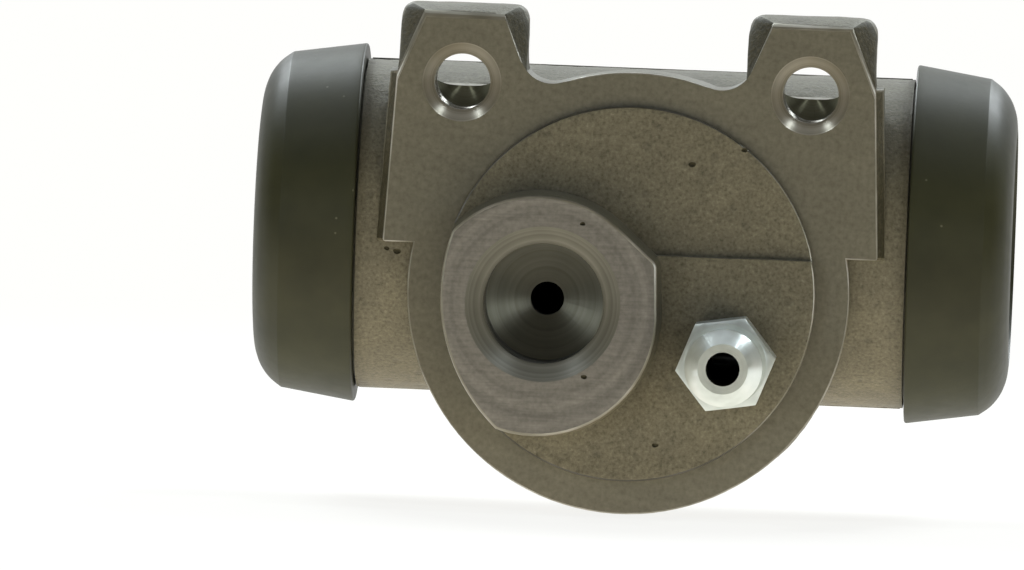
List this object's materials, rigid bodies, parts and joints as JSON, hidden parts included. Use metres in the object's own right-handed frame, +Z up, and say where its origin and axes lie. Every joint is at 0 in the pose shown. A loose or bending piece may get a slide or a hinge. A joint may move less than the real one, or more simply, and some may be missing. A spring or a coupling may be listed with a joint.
{
  "type": "wheel cylinder",
  "caption": "Cast-iron drum-brake wheel cylinder with opposed slotted pistons, rubber dust boots, a threaded brake line port and a bleed screw on its drilled mounting flange.",
  "frame": {"origin": "centre of the turned pilot, on the machined mounting face", "axes": "+X along the bore, -Y out of the mounting face, +Z up towards the drilled ears"},
  "size_m": [0.0698, 0.0479, 0.0463],
  "materials": {
    "casting": "as cast, machined on the flange, pilot edge and boss",
    "piston": "turned",
    "cup": "smooth moulded",
    "expander": "pressed",
    "spring": "drawn wire",
    "boot": "matte moulded",
    "bleed_screw": "bright zinc plated"
  },
  "bodies": {
    "housing": {"housing": "casting", "return_spring": "spring", "left_dust_boot": "boot", "right_dust_boot": "boot"},
    "left_piston": {"left_piston": "piston", "left_cup_seal": "cup", "left_cup_expander": "expander"},
    "right_piston": {"right_piston": "piston", "right_cup_seal": "cup", "right_cup_expander": "expander"},
    "bleed_screw": {"bleed_screw": "bleed_screw"}
  },
  "joints": [
    {"name": "left_piston_slide", "type": "slide", "parent": "housing", "child": "left_piston", "axis": [-1, 0, 0], "range_m": [-0.002, 0.008], "deforming": ["left_dust_boot", "return_spring"]},
    {"name": "right_piston_slide", "type": "slide", "parent": "housing", "child": "right_piston", "axis": [1, 0, 0], "range_m": [-0.002, 0.008], "deforming": ["right_dust_boot", "return_spring"]},
    {"name": "bleed_screw_turn", "type": "hinge", "parent": "housing", "child": "bleed_screw", "pos_m": [0.00935, 0, -0.0058], "axis": [0, -1, 0], "range_deg": [0, 270]}
  ]
}
